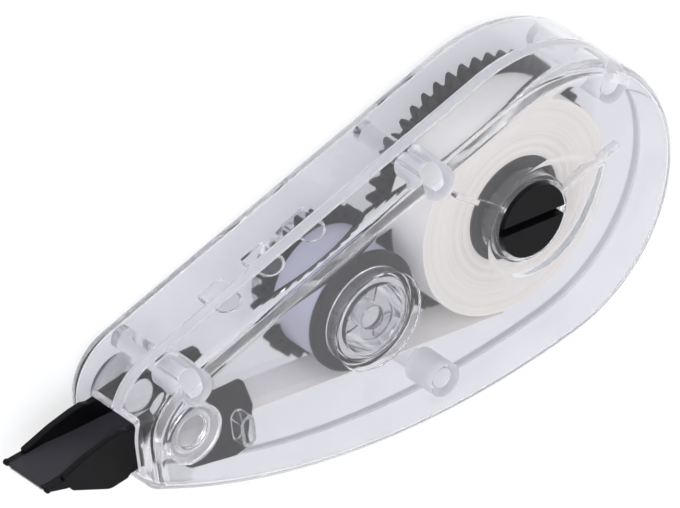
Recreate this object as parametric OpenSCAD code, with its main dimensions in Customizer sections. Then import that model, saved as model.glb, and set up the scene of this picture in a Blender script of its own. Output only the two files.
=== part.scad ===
// Correction tape, lying on its back cover.
// X runs from the applicator blade towards the tail, Z is the thickness, and the
// origin is the supply reel's axis on the face that the case rests on.

/* [Case] */
// Thickness of the front and back faces
face_wall = 1.3; // [1:0.1:2]
// Thickness of the side walls
side_wall = 1.1; // [0.8:0.1:1.6]
// Radius of the rounded outer edges
edge_r = 2; // [1.6:0.1:3]
// Tail arc's centre, towards the tail from the supply axis
tail_x = 2.5; // [0:0.1:4]
// Tail arc's centre, across the case from the supply axis
tail_y = -1; // [-2:0.1:0]
// Slope of the straight top wall
top_tilt = 10.35; // [6:0.05:12]
// Direction, from the tail arc's centre, where the tail hands over to the lower wall
belly_turn = -85.7; // [-95:0.1:-75]
// Room between the mouth's lower edge and the nose's lower corner
mouth_sill = 1.3; // [1:0.05:2]
// Radius of the nose's upper corner
nose_r = 6.5; // [4.5:0.1:8]
// Radius of the nose's lower corner
nose_low_r = 1.6; // [1:0.1:2.5]
// Room between the supply gear's teeth and the top wall
rim_gap = 0.37; // [0.3:0.01:1]
// Height of the seam above the roll's back edge
seam_lift = 2.2; // [1.5:0.1:3]
// Height of the tongue that locks the two covers
tongue_h = 1; // [0.6:0.1:1.4]
// Gap all round the tongue
tongue_gap = 0.05; // [0.03:0.01:0.1]

/* [Tape] */
// Width of the tape
tape_w = 5; // [4:0.1:6]
// Thickness of the free tape
tape_t = 0.1; // [0.08:0.01:0.15]
// Radius of the full roll
roll_r = 12.5; // [10:0.1:16]
// Radial depth of the used tape on the drum
used_depth = 0.5; // [0.2:0.1:1]
// Gap between the free tape and what it runs past
tape_gap = 0.08; // [0.05:0.01:0.12]

/* [Gears] */
// Teeth on the supply gear
supply_teeth = 50; // [46:2:56]
// Teeth on the take-up gear
take_up_teeth = 28; // [24:2:32]
// Face width of both gears
gear_t = 1.2; // [0.8:0.1:2]
// Thinning of each tooth at the pitch circle
backlash = 0.1; // [0.06:0.01:0.14]
// Gap under the gears
gear_lift = 2.2; // [0.4:0.1:2.4]

/* [Reels] */
// Radius of the supply axle
supply_axle_r = 2.6; // [2:0.1:3.2]
// Wall of the supply gear's hub
hub_wall = 1.54; // [1.3:0.01:1.8]
// Wall of the supply core
core_wall = 1.75; // [1.2:0.05:2.2]
// Radius of the tube that the take-up gear turns on
tube_r = 4.8; // [4.4:0.1:5]
// Wall of the tube
tube_wall = 0.84; // [0.6:0.02:1]
// Wall of the take-up gear's hub
drum_hub_wall = 0.5; // [0.4:0.1:0.6]
// Radius of the take-up drum's barrel
drum_r = 6.15; // [6:0.05:6.5]
// Thickness of the drum's front flange
flange_t = 0.8; // [0.6:0.1:1.2]
// Step of the drum's front flange above the used tape
flange_step = 0.2; // [0.1:0.05:0.4]
// Thickness of the rubber clutch ring
ring_t = 0.92; // [0.7:0.02:1]
// Radius of the winding knob
knob_r = 4.2; // [3.8:0.05:4.6]
// Width of the coin slot in the knob
slot_w = 1; // [0.8:0.1:2]
// Depth of the coin slot
slot_d = 1.2; // [0.8:0.1:2]
// Turn of the coin slot about the axis
slot_turn = -12; // [-90:1:90]
// Radial running gap of every turning fit
run_gap = 0.06; // [0.04:0.01:0.1]
// Radial gap of the pressed fits
press_gap = 0.02; // [0.01:0.01:0.04]
// End gap between turning pieces
end_gap = 0.1; // [0.05:0.01:0.2]
// Gap between the roll and the take-up drum
reel_clear = 2.1; // [1:0.05:3]
// Room from the gear's face to the roll
reel_gap = 0.3; // [0.2:0.1:1]
// Height of the core above the roll's front edge
core_rise = 0.1; // [0.1:0.05:0.5]
// Depth of the gear hub's end below the roll's front edge
hub_sink = 0.9; // [0.5:0.1:1.5]
// Depth of the knob's face below the front cover's face
knob_sink = 0.2; // [0:0.05:0.5]
// Height of the knob's foot inside the core
knob_foot_h = 0.9; // [0.5:0.1:1.2]
// Step of the thrust rings that carry both gears
thrust_step = 1.4; // [1:0.1:2]
// End of both axles below what covers them
axle_sink = 0.2; // [0.1:0.05:0.4]
// Wall of the hollow supply axle
axle_wall = 1; // [0.8:0.1:1.4]
// Room from the roll's front edge to the front face
front_room = 2.7; // [2.4:0.1:4]

/* [Applicator head] */
// Distance from the take-up axis to the head's pegs
head_reach = 24.4; // [23:0.1:30]
// Distance from the pegs to the end of the nose
nose_past = 6.15; // [5.5:0.05:8]
// Distance from the end of the nose to the blade's edge
blade_reach = 11.3; // [9:0.1:13]
// Height of the blade's edge across the case
blade_y = 2.2; // [1:0.05:2.5]
// Thickness of the blade at its edge
blade_t = 0.4; // [0.3:0.05:0.6]
// Upper edge of the head's neck across the case
neck_top = 3.4; // [2.6:0.1:3.8]
// Lower edge of the head's neck across the case
neck_low = -2.5; // [-3:0.1:-2]
// Rise of the side plates' leaves above the neck
leaf_rise = 0.35; // [0.1:0.05:0.8]
// Reach of the side plates behind the pegs
plate_reach = 8.9; // [8:0.1:10]
// Lower end of the side plates across the case
plate_low = -7.6; // [-8:0.1:-6]
// Thickness of the two side plates
plate_t = 0.8; // [0.6:0.1:1]
// Gap beside the tape
tape_side_gap = 0.2; // [0.1:0.05:0.4]
// Gap round the head in the mouth
mouth_gap = 0.15; // [0.1:0.05:0.3]
// Radius of the round pegs
peg_r = 1.95; // [1.5:0.05:2.2]
// Wall of the collars round the pegs
peg_collar = 1.5; // [1:0.1:1.8]
// Length of the oval peg and of the ring opposite it
oval_l = 4; // [3:0.1:5]
// Width of the oval peg and of the ring
oval_w = 1.8; // [1.4:0.1:2.2]
// Wall of the oval ring
oval_wall = 0.4; // [0.3:0.05:0.6]
// Oval peg's centre, along and across the case from the round pegs
oval_place = [6.6, -3.75]; // [-5:0.05:8]
// Gap round the pegs in the side plates
peg_gap = 0.05; // [0.03:0.01:0.1]

/* [Front cover] */
// Gap round the knob in its window
window_gap = 0.25; // [0.2:0.05:0.4]
// Gap between the window's collar and the core
window_lift = 0.35; // [0.2:0.05:0.6]
// Wall of the window's collar
window_wall = 0.5; // [0.4:0.1:1.2]
// Round end of the eye-shaped recess round the window
eye_r = 6.6; // [6:0.1:7.5]
// Reach of the recess's point towards the tail
eye_reach = 10.6; // [9:0.1:12]
// Angle in which the point falls back to the round end
eye_fade = 33; // [20:1:45]
// Turn of the recess and of the first rib
eye_turn = 10.5; // [0:0.5:20]
// Depth of the recess
eye_d = 0.4; // [0.2:0.05:0.5]
// Turns of the ribs round the window, from the recess's point
rib_turns = [0, 125.5]; // [0:0.5:360]
// Thickness of the ribs
rib_t = 0.6; // [0.5:0.1:0.9]
// Height of the ribs
rib_h = 0.8; // [0.5:0.1:1.2]
// Radius of the round recess over the take-up drum
dial_r = 5.7; // [5:0.05:6]
// Radius of the deeper middle of that recess
dial_mid_r = 4.1; // [3:0.05:4.4]
// Depth of each step of that recess
dial_d = 0.3; // [0.2:0.05:0.4]
// Radius of the post in the middle of the tube
post_r = 1.4; // [1.2:0.1:2]
// Radius of the snap pins
pin_r = 1.2; // [1:0.1:1.4]
// Wall of the snap pins' sockets
socket_wall = 0.7; // [0.6:0.1:0.9]
// Nose pin, from the centre of the nose's upper corner
nose_pin = [0.7, 4.2]; // [0:0.05:6]
// Top pin, towards the tail from where the gears meet
top_pin = 2.7; // [0:0.1:5]
// Lower pin, along the case from where the gears meet, and across it from the roll
low_pin = [0.2, 0.7]; // [-2:0.1:3]
// Direction of the tail pin from the tail arc's centre
tail_pin = 47.5; // [30:0.5:60]
// Seam clips, along the case from the take-up axis
clip_places = [-14.6, -8.6, -2.9]; // [-18:0.1:6]
// Radius of the seam clips
clip_r = 1.5; // [1.2:0.1:1.8]
// Thickness of the seam clips
clip_t = 0.7; // [0.5:0.1:0.9]
// Depth of the clips' roots below the seam
clip_root = 2; // [1.5:0.1:3]

/* [Hidden] */
$fn = 64;
eps = 0.01;

// Gear sizes and axes: the gears mesh where the roll and the drum clear each other
used_r = drum_r + used_depth;
flange_r = used_r + flange_step;
take_up_x = -(roll_r + flange_r + reel_clear);
gear_m = -2 * take_up_x / (supply_teeth + take_up_teeth);
supply_pitch_r = gear_m * supply_teeth / 2;
supply_tip_r = supply_pitch_r + gear_m;
head_x = take_up_x - head_reach;
nose_x = head_x - nose_past;
blade_x = nose_x - blade_reach;

// Heights, from the resting face up
gear_z0 = face_wall + gear_lift;
gear_z1 = gear_z0 + gear_t;
tape_z0 = gear_z1 + reel_gap;
tape_z1 = tape_z0 + tape_w;
core_z1 = tape_z1 + core_rise;
ceiling_z = tape_z1 + front_room;
case_t = ceiling_z + face_wall;
seam_z = tape_z0 + seam_lift;
head_z0 = tape_z0 - tape_side_gap - plate_t;
head_z1 = tape_z1 + tape_side_gap + plate_t;
hub_z1 = tape_z1 - hub_sink;
knob_z1 = case_t - knob_sink;
drum_z1 = core_z1 + flange_t;
window_z0 = core_z1 + window_lift;
socket_z0 = seam_z + tongue_h + 3 * end_gap;
boss_z0 = drum_z1 + 2 * end_gap;
pin_z1 = ceiling_z - face_wall;

// Outline of the case: the tail arc, the straight top wall, two nose corners and the belly arc
tail_r = max(supply_tip_r, roll_r) + rim_gap + side_wall + tail_x * sin(top_tilt) - tail_y * cos(top_tilt);
tail_c = [tail_x, tail_y];
corner_x = nose_x + nose_r;
corner_c = [corner_x, tail_y + (tail_r - nose_r + (corner_x - tail_x) * sin(top_tilt)) / cos(top_tilt)];
nose_foot = [nose_x, neck_low - mouth_gap - mouth_sill] - tail_c;
belly_dir = [cos(belly_turn), sin(belly_turn)];
foot_along = nose_foot * belly_dir;
belly_r = (nose_foot * nose_foot - 2 * tail_r * foot_along + tail_r * tail_r) / (tail_r - foot_along) / 2;
belly_c = tail_c + (tail_r - belly_r) * belly_dir;
least_corner_r = 0.3;
edge_steps = 4;

// Reel sizes
hub_bore_r = supply_axle_r + run_gap;
hub_r = hub_bore_r + hub_wall;
core_bore_r = hub_r + run_gap;
core_r = core_bore_r + core_wall;
ring_r = core_bore_r - press_gap - ring_t / 2;
ring_z = (tape_z0 + hub_z1) / 2;
drum_hub_bore_r = tube_r + run_gap;
drum_hub_r = drum_hub_bore_r + drum_hub_wall;
drum_bore_r = drum_hub_r + press_gap;
spigot_r = tube_r - tube_wall - run_gap;
window_r = knob_r + window_gap;

// Point of the top wall at a place along the case, a depth inside the outer surface
function top_wall(x, depth) =
    let (p = tail_c + (tail_r - depth) * [-sin(top_tilt), cos(top_tilt)])
    [x, p.y + (x - p.x) * tan(top_tilt)];

// Snap pins: nose, top wall, lower wall and tail
pin_places = [
    corner_c + nose_pin,
    top_wall(top_pin - supply_pitch_r, side_wall + pin_r),
    [low_pin.x - supply_pitch_r, -roll_r - low_pin.y],
    tail_c + (tail_r - side_wall - pin_r) * [cos(tail_pin), sin(tail_pin)]
];
socket_r = pin_r + press_gap + socket_wall;
oval_c = [head_x, 0] + oval_place;

function arc(c, r, a0, a1, n) = [for (i = [0 : n]) let (a = a0 + (a1 - a0) * i / n) c + r * [cos(a), sin(a)]];

// Centre of the nose's lower corner at an inset
function low_corner(d) =
    let (r = max(nose_low_r - d, least_corner_r), x = nose_x + d + r)
    [x, belly_c.y - sqrt(pow(belly_r - d - r, 2) - pow(x - belly_c.x, 2))];

// Case outline, counter-clockwise, moved inwards by an inset
function outline(d) =
    let (low = low_corner(d), low_a = atan2(low.y - belly_c.y, low.x - belly_c.x))
    concat(
        arc(tail_c, tail_r - d, belly_turn, 90 + top_tilt, 22),
        arc(corner_c, nose_r - d, 90 + top_tilt, 180, 8),
        arc(low, max(nose_low_r - d, least_corner_r), 180, 360 + low_a, 3),
        arc(belly_c, belly_r - d, low_a + 0.5, belly_turn - 0.5, 12)
    );

// Closed solid through the case outline at a list of [inset, height] steps
module loft(steps) {
    rings = [for (s = steps) [for (p = outline(s[0])) [p.x, p.y, s[1]]]];
    n = len(rings[0]);
    last = len(steps) - 1;
    points = [for (r = rings) each r];
    sides = [
        for (k = [0 : last - 1])
            for (j = [0 : n - 1])
                let (a = k * n + j, b = k * n + (j + 1) % n)
                    each [[a, a + n, b + n], [a, b + n, b]]
    ];
    bottom = [for (j = [0 : n - 1]) j];
    top = [for (j = [n - 1 : -1 : 0]) last * n + j];
    polyhedron(points, concat([bottom], sides, [top]));
}

// Rounded edge as [inset, depth from the outer face] steps, from the face to the wall
function edge(r, inset) =
    [for (i = [0 : edge_steps]) let (a = 90 * (1 - i / edge_steps)) [inset + r * (1 - cos(a)), r * (1 - sin(a))]];

// Half shell from its outer face at height zero up to a given height
module half_shell(h) {
    difference() {
        loft(concat(edge(edge_r, 0), [[0, h]]));
        loft(concat(
            [for (s = edge(max(edge_r - side_wall, least_corner_r), side_wall)) [s[0], s[1] + face_wall]],
            [[side_wall, h + 1]]
        ));
    }
}

// Space inside the outer surface, used to trim what is joined to a shell
module case_space() {
    loft([[edge_r / 3, 0.3], [side_wall / 2, edge_r], [side_wall / 2, case_t - edge_r], [edge_r / 3, case_t - 0.3]]);
}

module ring(r1, r0, z0, z1) {
    translate([0, 0, z0])
        difference() {
            cylinder(r = r1, h = z1 - z0);
            translate([0, 0, -1]) cylinder(r = r0, h = z1 - z0 + 2);
        }
}

module rod(r, z0, z1) {
    translate([0, 0, z0]) cylinder(r = r, h = z1 - z0);
}

// Stadium lying along Y
module oval(l, w) {
    square([w, l - w], center = true);
    for (s = [-1, 1]) translate([0, s * (l - w) / 2]) circle(d = w);
}

module oval_rod(grow, z0, z1) {
    translate([oval_c.x, oval_c.y, z0]) linear_extrude(z1 - z0) oval(oval_l + 2 * grow, oval_w + 2 * grow);
}

module oval_ring(z0, z1) {
    difference() {
        oval_rod(0, z0, z1);
        oval_rod(-oval_wall, z0 - 1, z1 - eps);
    }
}

// Space for the head's neck in the end of the nose
module mouth() {
    translate([nose_x - 1, neck_low - mouth_gap, head_z0 - mouth_gap])
        cube([nose_wall_depth + 1, neck_top - neck_low + 2 * mouth_gap, head_z1 - head_z0 + 2 * mouth_gap]);
}

// Involute of a base circle
function involute(rb, t) = rb * [cos(t) + t * PI / 180 * sin(t), sin(t) - t * PI / 180 * cos(t)];
function turned(p, a) = [p.x * cos(a) - p.y * sin(a), p.x * sin(a) + p.y * cos(a)];

// Gear outline with a tooth centred on the X axis
pressure_angle = 20;
root_depth = 1.25;
function gear_points(n) =
    let (
        r = gear_m * n / 2,
        rb = r * cos(pressure_angle),
        root = r - root_depth * gear_m,
        start = max(rb, root),
        half = 90 / n + (tan(pressure_angle) * 180 / PI - pressure_angle) - backlash / 2 / r * 180 / PI,
        t0 = sqrt(pow(start / rb, 2) - 1) * 180 / PI,
        t1 = sqrt(pow((r + gear_m) / rb, 2) - 1) * 180 / PI,
        flank = [for (i = [0 : 4]) turned(involute(rb, t0 + (t1 - t0) * i / 4), -half)],
        foot = root * [cos(atan2(flank[0].y, flank[0].x)), sin(atan2(flank[0].y, flank[0].x))],
        side = concat([foot], flank),
        tooth = concat(side, [for (i = [len(side) - 1 : -1 : 0]) [side[i].x, -side[i].y]])
    )
    [for (k = [0 : n - 1]) for (p = tooth) turned(p, 360 * k / n)];

module gear(n, phase) {
    translate([0, 0, gear_z0]) linear_extrude(gear_t) rotate(phase) polygon(gear_points(n));
}

// Normal of a path at one of its points
function unit(v) = v / norm(v);
function path_normal(p, i) =
    let (
        a = i > 0 ? unit(p[i] - p[i - 1]) : unit(p[1] - p[0]),
        b = i < len(p) - 1 ? unit(p[i + 1] - p[i]) : a,
        m = unit(a + b)
    )
    [-m.y, m.x] / max(0.4, m * a);

// Flat tape standing on edge along a path
module ribbon(path) {
    last = len(path) - 1;
    left = [for (i = [0 : last]) path[i] + path_normal(path, i) * tape_t / 2];
    right = [for (i = [last : -1 : 0]) path[i] - path_normal(path, i) * tape_t / 2];
    translate([0, 0, tape_z0]) linear_extrude(tape_w) polygon(concat(left, right));
}

// Applicator head's profile, measured from the nose end and the blade's edge
nose_wall_depth = 3;
neck_step = 0.5;
neck_x = nose_x + nose_wall_depth + neck_step;
leaf_x = nose_x - 3.2;
plate_x = head_x + plate_reach;
blade_e = [blade_x, blade_y];
ramp_top = [
    blade_e + [0, blade_t / 2],
    blade_e + [4.5, -0.1],
    blade_e + [8.1, -0.75],
    [neck_x, blade_y - 1.65]
];
ramp_low = [
    [neck_x, blade_y - 3.4],
    [leaf_x, blade_y - 2.45],
    blade_e + [2.3, -1.15],
    blade_e - [0, blade_t / 2]
];
leaf = [
    blade_e + [0.15, blade_t / 2],
    blade_e + [2.1, 0.75],
    blade_e + [4.1, 1.35],
    [leaf_x, neck_top + leaf_rise],
    [nose_x - 1.2, neck_top + leaf_rise],
    [nose_x - 0.4, neck_top],
    [neck_x + 2, neck_top],
    [neck_x + 3, neck_top - 1],
    [plate_x - 0.8, neck_top - 2.2],
    [plate_x, neck_low],
    [plate_x - 1.1, plate_low + 0.2],
    [plate_x - 3, plate_low],
    [head_x, plate_low + 2],
    [neck_x, neck_low],
    [leaf_x, neck_low],
    blade_e + [2.5, -1.4],
    blade_e + [0.15, -blade_t / 2]
];

// Straight stretch of tape that touches the roll's lower side
function low_tangent(c, r, p) =
    let (d = p - c, a = atan2(d.y, d.x) + acos(r / norm(d)))
    c + r * [cos(a), sin(a)];
lift = tape_gap + tape_t / 2;
turn_r = blade_t / 2 + lift;
tape_joint = 0.05;
feed_path = concat(
    [low_tangent([0, 0], roll_r + lift, ramp_low[0] - [0, lift])],
    [for (i = [0 : 2]) ramp_low[i] - [0, lift]],
    arc(blade_e - [0, tape_joint], turn_r, 270, 180, 4),
    [blade_e - [turn_r, 0]]
);
return_path = concat(
    [blade_e - [turn_r, 0]],
    arc(blade_e + [0, tape_joint], turn_r, 180, 90, 4),
    [for (i = [1 : 3]) ramp_top[i] + [0, lift]],
    [low_tangent([take_up_x, 0], used_r + lift, ramp_top[3] + [0, lift])]
);

// Back half of the case, with both axles, the snap pins and the head's pegs
module back_cover() {
    color("whitesmoke", 0.35)
        difference() {
            union() {
                half_shell(seam_z);
                tongue();
                intersection() {
                    case_space();
                    for (p = pin_places) translate(p) rod(pin_r, face_wall - eps, pin_z1);
                }
                rod(supply_axle_r, face_wall - eps, hub_z1 - axle_sink);
                rod(supply_axle_r + thrust_step, face_wall - eps, gear_z0 - end_gap);
                translate([take_up_x, 0]) {
                    ring(tube_r, tube_r - tube_wall, face_wall - eps, ceiling_z - 2 * axle_sink);
                    ring(tube_r + thrust_step, tube_r - eps, face_wall - eps, gear_z0 - end_gap);
                    rod(post_r, face_wall - eps, ceiling_z - 2 * axle_sink);
                }
                translate([head_x, 0]) {
                    rod(peg_r + peg_collar, face_wall - eps, head_z0 - peg_gap);
                    rod(peg_r, face_wall - eps, head_z0 + plate_t);
                }
                oval_rod(0, face_wall - eps, head_z0 + plate_t);
                for (d = clip_places) seam_clip(d);
            }
            rod(supply_axle_r - axle_wall, face_wall, hub_z1);
            mouth();
        }
}

// Tongue that stands up from the back cover's rim into the front cover
module tongue() {
    translate([0, 0, seam_z - eps])
        linear_extrude(tongue_h + eps)
            difference() {
                polygon(outline(side_wall / 2 + tongue_gap));
                polygon(outline(side_wall));
            }
}

// Front half of the case, with the knob's window, the sockets, the plug in the tube, the rings and the ribs
module front_cover() {
    color("white", 0.35)
        difference() {
            union() {
                translate([0, 0, case_t]) mirror([0, 0, 1]) half_shell(case_t - seam_z);
                intersection() {
                    case_space();
                    for (p = pin_places) translate(p) rod(socket_r, socket_z0, ceiling_z + eps);
                }
                rod(window_r + window_wall, window_z0, ceiling_z + eps);
                for (a = rib_turns) rotate(eye_turn + a) rib();
                translate([take_up_x, 0]) {
                    ring(tube_r + run_gap + rib_t, tube_r + run_gap, boss_z0, ceiling_z + eps);
                    rod(spigot_r, gear_z0, ceiling_z + eps);
                }
                translate([head_x, 0]) {
                    rod(peg_r + peg_collar, head_z1 + peg_gap, ceiling_z + eps);
                    rod(peg_r, head_z1 - plate_t, ceiling_z + eps);
                }
                oval_ring(head_z1 + peg_gap, ceiling_z + eps);
            }
            rabbet();
            rod(window_r, 0, case_t + 1);
            translate([0, 0, case_t - eye_d]) linear_extrude(eye_d + 1) eye();
            for (p = pin_places) translate(p) rod(pin_r + press_gap, 0, pin_z1 + axle_sink);
            translate([take_up_x, 0]) {
                rod(dial_r, case_t - dial_d, case_t + 1);
                rod(dial_mid_r, case_t - 2 * dial_d, case_t + 1);
                rod(post_r + run_gap, 0, ceiling_z - axle_sink);
            }
            mouth();
        }
}

// Groove in the front cover's rim for the tongue
module rabbet() {
    translate([0, 0, seam_z - 1])
        linear_extrude(tongue_h + tongue_gap + 1)
            difference() {
                polygon(outline(side_wall / 2));
                polygon(outline(side_wall + 2 * tongue_gap));
            }
}

// Eye-shaped outline round the window: a circle drawn out to a point
module eye() {
    rotate(eye_turn)
        polygon([
            for (a = [0 : 3 : 357])
                (eye_r + (eye_reach - eye_r) * exp(-min(a, 360 - a) / eye_fade)) * [cos(a), sin(a)]
        ]);
}

// Rib that braces the window's collar on the inner face
module rib() {
    length = roll_r - window_r;
    translate([window_r + window_wall / 2, -rib_t / 2, ceiling_z - rib_h])
        cube([length, rib_t, rib_h + eps]);
}

// Round-ended tab that stands up from the back cover behind the front cover's top wall
module seam_clip(along) {
    root_h = clip_root + tongue_h / 2;
    translate(top_wall(take_up_x + along, side_wall - eps))
        rotate([90, 0, top_tilt])
            linear_extrude(clip_t + eps) translate([-clip_r, seam_z - clip_root]) square([2 * clip_r, root_h]);
    translate(top_wall(take_up_x + along, side_wall + 2 * tongue_gap))
        rotate([90, 0, top_tilt])
            linear_extrude(clip_t - 2 * tongue_gap)
                polygon(concat([[-clip_r, seam_z], [clip_r, seam_z]], arc([0, seam_z + tongue_h], clip_r, 0, 180, 16)));
}

// Black moulded tip: the blade and its ramp between two side plates
module applicator_head() {
    color([0.09, 0.09, 0.1])
        difference() {
            union() {
                for (z = [head_z0, head_z1 - plate_t])
                    translate([0, 0, z]) linear_extrude(plate_t) polygon(leaf);
                translate([0, 0, head_z0])
                    linear_extrude(head_z1 - head_z0) polygon(concat(ramp_top, ramp_low));
            }
            translate([head_x, 0]) rod(peg_r + peg_gap, 0, case_t);
            oval_rod(peg_gap, 0, head_z1 - 2 * plate_t);
        }
}

// Large gear under the roll, with the hub that carries the reel
module supply_gear() {
    color([0.2, 0.2, 0.22])
        difference() {
            union() {
                gear(supply_teeth, 0);
                rod(hub_r, gear_z0, hub_z1);
            }
            rod(hub_bore_r, 0, case_t);
            ring(hub_r + 1, ring_r - ring_t / 2, ring_z - ring_t / 2, ring_z + ring_t / 2);
        }
}

// Rubber ring in the hub's groove, which drags the core round and slips when it must
module clutch_ring() {
    color([0.12, 0.12, 0.12])
        translate([0, 0, ring_z]) rotate_extrude() translate([ring_r, 0]) circle(d = ring_t - 2 * eps);
}

// Core that the tape is wound on
module supply_core() {
    color([0.25, 0.25, 0.27])
        ring(core_r, core_bore_r, gear_z1 + end_gap, core_z1);
}

// Full roll of coated tape
module tape_roll() {
    color("ivory")
        ring(roll_r, core_r, tape_z0, tape_z1);
}

// Slotted knob, pressed into the core, that takes up slack tape
module winding_knob() {
    color([0.08, 0.08, 0.09])
        difference() {
            union() {
                rod(core_bore_r - press_gap, core_z1 - knob_foot_h, core_z1 + eps);
                rod(knob_r, core_z1, knob_z1);
            }
            rotate(slot_turn)
                translate([-knob_r - 1, -slot_w / 2, knob_z1 - slot_d])
                    cube([2 * knob_r + 2, slot_w, slot_d + 1]);
        }
}

// Small gear that drives the drum
module take_up_gear() {
    color([0.2, 0.2, 0.22])
        translate([take_up_x, 0])
            difference() {
                union() {
                    gear(take_up_teeth, 180 / take_up_teeth);
                    rod(drum_hub_r, gear_z0, drum_z1 - end_gap);
                }
                rod(drum_hub_bore_r, 0, case_t);
            }
}

// Drum that winds up the used tape, pressed on the small gear's hub
module take_up_drum() {
    color([0.28, 0.28, 0.3])
        translate([take_up_x, 0]) {
            ring(drum_r, drum_bore_r, gear_z1, drum_z1);
            ring(flange_r, drum_r - eps, tape_z1 + end_gap, drum_z1);
        }
}

// Used tape on the drum
module used_tape() {
    color([0.75, 0.75, 0.8])
        translate([take_up_x, 0]) ring(used_r, drum_r, tape_z0, tape_z1);
}

// Coated tape from the roll to the blade's edge
module tape_feed() {
    color("ivory")
        ribbon(feed_path);
}

// Bare tape from the blade's edge to the drum
module tape_return() {
    color([0.7, 0.7, 0.78])
        ribbon(return_path);
}

back_cover();
front_cover();
applicator_head();
supply_gear();
clutch_ring();
supply_core();
tape_roll();
winding_knob();
take_up_gear();
take_up_drum();
used_tape();
tape_feed();
tape_return();
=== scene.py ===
"""Visual model of a correction tape in a clear two-part case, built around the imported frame.

Sizes are in millimetres and in the frame's own coordinates: the supply reel turns about Z, +X points from the
blade towards the tail, and +Y towards the straight top wall.
"""
import logging
import math
from collections.abc import Mapping, Sequence
from dataclasses import dataclass, field
from enum import Enum

import bmesh
import bpy
from mathutils import Matrix, Vector


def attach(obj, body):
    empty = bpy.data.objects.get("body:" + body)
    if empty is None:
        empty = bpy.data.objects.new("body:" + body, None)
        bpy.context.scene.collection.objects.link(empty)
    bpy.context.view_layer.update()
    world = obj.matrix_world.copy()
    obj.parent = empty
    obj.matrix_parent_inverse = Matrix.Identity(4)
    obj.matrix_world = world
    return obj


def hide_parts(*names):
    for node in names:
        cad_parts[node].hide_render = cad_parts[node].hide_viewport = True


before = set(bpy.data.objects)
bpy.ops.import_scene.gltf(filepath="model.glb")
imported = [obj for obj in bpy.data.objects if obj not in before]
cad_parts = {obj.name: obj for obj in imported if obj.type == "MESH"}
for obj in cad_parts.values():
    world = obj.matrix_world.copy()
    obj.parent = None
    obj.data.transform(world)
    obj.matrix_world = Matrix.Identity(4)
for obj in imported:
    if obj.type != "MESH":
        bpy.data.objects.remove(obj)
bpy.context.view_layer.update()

MM = 0.001
LOG = logging.getLogger("correction_tape")

Pair = tuple[int, int]
Point = tuple[float, float]
Triple = tuple[float, float, float]
Colour = tuple[float, float, float, float]
Profile = Sequence[Triple]
Piece = bpy.types.Object
Material = bpy.types.Material
Tree = bpy.types.NodeTree
Node = bpy.types.Node
Socket = bpy.types.NodeSocket
Sockets = Mapping[str, Socket]

# Places, heights and lines that several pieces share.
ORIGIN: Point = (0.0, 0.0)
UNIT: Point = (0.0, 1.0)
TAKE_UP: Point = (-21.45, 0.0)
HEAD_PEG: Point = (-45.85, 0.0)
OVAL: Point = (-39.25, -3.75)
OVAL_HALF = 1.1
BLADE: Point = (-63.3, 2.2)
RAMP_LOW: list[Point] = [(-61.0, 1.05), (-55.2, -0.25), (-48.5, -1.2)]
RAMP_TOP: list[Point] = [(-48.5, 0.55), (-55.2, 1.45), (-58.8, 2.1)]
TAPE_WIDTH = 5.0
TAPE_MIDDLE = 7.5

# Turns in degrees: of edges that are softened, of edges that stay sharp, and of faces that count as one.
SOFTEN_FROM = 35.0
SHARP_FROM = 32.0
FLAT_WITHIN = 0.05
# Share of a side that one rounded corner may take, and distance in metres within which points are joined.
CORNER_SHARE = 0.49
WELD = 1e-7
# Points on each turn of a winding, and how fast its edges wander from turn to turn.
TURN_POINTS = 80
DRIFT_PACE = 0.9


class Body(Enum):
    """Bodies of the frame that pieces ride on."""

    HOUSING = "housing"
    DRIVE = "supply_drive"
    REEL = "supply_reel"
    TAKE_UP = "take_up"


class Slot(Enum):
    """Material slots of the record."""

    CLEAR = "clear_plastic"
    BLACK = "black_plastic"
    DARK = "dark_plastic"
    RUBBER = "ring_rubber"
    COATED = "coated_tape"
    BARE = "bare_tape"


class Cut(Enum):
    """Ways of joining a tool solid to a base solid."""

    ADD = "UNION"
    TAKE = "DIFFERENCE"


def linear(code: str) -> Colour:
    """Turn six hex digits of an sRGB colour into a linear colour with an alpha of 1."""
    parts = [int(code[i:i + 2], 16) / 255 for i in (0, 2, 4)]
    return *(p / 12.92 if p <= 0.04045 else ((p + 0.055) / 1.055) ** 2.4 for p in parts), 1.0


def add_node(tree: Tree, kind: str, inputs: dict | None = None, **settings: object) -> Node:
    """Add a node with its settings and links.

    Args:
        tree: Node tree that gets the node.
        kind: Blender's type name of the node.
        inputs: Socket names or numbers, each with a value, or with the node or output socket to link.
        settings: Properties of the node itself.

    Returns:
        The new node.
    """
    node = tree.nodes.new(kind)
    for key, value in settings.items():
        setattr(node, key, value)
    for key, value in (inputs or {}).items():
        if isinstance(value, (Node, Socket)):
            tree.links.new(value.outputs[0] if isinstance(value, Node) else value, node.inputs[key])
        else:
            node.inputs[key].default_value = value
    return node


def maths(tree: Tree, operation: str, *values: object) -> Node:
    """Add a Math node."""
    return add_node(tree, "ShaderNodeMath", dict(enumerate(values)), operation=operation)


def blend(tree: Tree, factor: Node, first: object, second: object) -> Socket:
    """Mix two colours by a factor."""
    return add_node(tree, "ShaderNodeMix", {0: factor, 6: first, 7: second}, data_type="RGBA").outputs[2]


def noise(tree: Tree, size: float, detail: float) -> Node:
    """Add noise of a size in millimetres, in the piece's own coordinates."""
    spot = add_node(tree, "ShaderNodeTexCoord").outputs["Object"]
    return add_node(tree, "ShaderNodeTexNoise", {"Vector": spot, "Scale": 1 / (size * MM), "Detail": detail})


def spread(tree: Tree, value: object, source: Point, target: Point, **settings: object) -> Node:
    """Map one range of values to another."""
    ends = {"From Min": source[0], "From Max": source[1], "To Min": target[0], "To Max": target[1]}
    return add_node(tree, "ShaderNodeMapRange", {"Value": value} | ends, **settings)


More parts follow.
